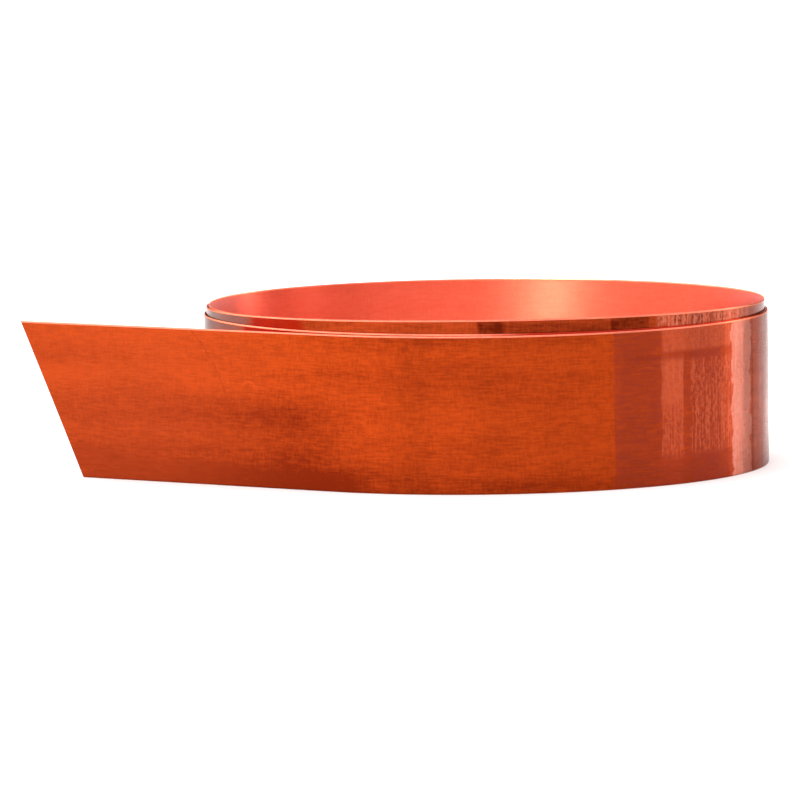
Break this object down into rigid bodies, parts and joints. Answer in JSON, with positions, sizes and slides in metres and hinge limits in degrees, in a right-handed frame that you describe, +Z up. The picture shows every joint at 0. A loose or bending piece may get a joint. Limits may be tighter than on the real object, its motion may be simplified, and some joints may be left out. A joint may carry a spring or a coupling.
{
  "type": "copper foil strip roll",
  "caption": "Loose roll of bare copper foil strip standing on edge, inner turns pushed up, with a straight free tail cut on a slant.",
  "frame": {"origin": "bottom centre of the box round the whole roll and its tail, on the surface that it stands on", "axes": "+Z up along the roll's axis, +X from the tail towards the roll, -Y the side that the tail leaves from"},
  "size_m": [0.0974, 0.0738, 0.022],
  "materials": {
    "copper_foil": "bright rolled copper, glossy outside, satin inside"
  },
  "bodies": {
    "outer_coil": {"outer_turn": "copper_foil"},
    "middle_coil": {"middle_turn": "copper_foil"},
    "inner_coil": {"inner_turn": "copper_foil"},
    "inner_end": {"inner_end": "copper_foil"},
    "peel_right": {"peel_right": "copper_foil"},
    "peel_corner": {"peel_corner": "copper_foil"},
    "peel_front": {"peel_front": "copper_foil"},
    "tail_root": {"tail_root": "copper_foil"},
    "tail_middle": {"tail_middle": "copper_foil"},
    "tail_tip": {"tail_tip": "copper_foil"}
  },
  "joints": [
    {"name": "middle_turn_lift", "type": "slide", "parent": "outer_coil", "child": "middle_coil", "axis": [0, 0, 1], "range_m": [-0.00015, 0.00104]},
    {"name": "inner_turn_lift", "type": "slide", "parent": "middle_coil", "child": "inner_coil", "axis": [0, 0, 1], "range_m": [-0.0011, 0.008]},
    {"name": "inner_end_peel", "type": "hinge", "parent": "inner_coil", "child": "inner_end", "pos_m": [-0.02422, -0.00181, 0], "axis": [0, 0, 1], "range_deg": [0, 35]},
    {"name": "unroll", "type": "hinge", "parent": "outer_coil", "child": "peel_right", "pos_m": [0.04459, 0.01678, 0], "axis": [0, 0, 1], "range_deg": [0, 16]},
    {"name": "unroll_corner", "type": "hinge", "parent": "peel_right", "child": "peel_corner", "pos_m": [0.04571, -0.01432, 0], "axis": [0, 0, 1], "range_deg": [0, 16]},
    {"name": "unroll_front", "type": "hinge", "parent": "peel_corner", "child": "peel_front", "pos_m": [0.02258, -0.0352, 0], "axis": [0, 0, 1], "range_deg": [0, 16]},
    {"name": "tail_swing", "type": "hinge", "parent": "peel_front", "child": "tail_root", "pos_m": [-0.00831, -0.03089, 0], "axis": [0, 0, 1], "range_deg": [0, 35]},
    {"name": "tail_curl", "type": "hinge", "parent": "tail_root", "child": "tail_middle", "pos_m": [-0.01921, -0.02381, 0], "axis": [0, 0, 1], "range_deg": [-25, 25]},
    {"name": "tail_tip_curl", "type": "hinge", "parent": "tail_middle", "child": "tail_tip", "pos_m": [-0.03012, -0.01673, 0], "axis": [0, 0, 1], "range_deg": [-20, 20]}
  ],
  "couplings": [
    {"joint": "middle_turn_lift", "follows": "inner_turn_lift", "ratio": 0.13},
    {"joint": "unroll_corner", "follows": "unroll", "ratio": 1},
    {"joint": "unroll_front", "follows": "unroll", "ratio": 1},
    {"joint": "tail_tip_curl", "follows": "tail_curl", "ratio": 0.8}
  ]
}
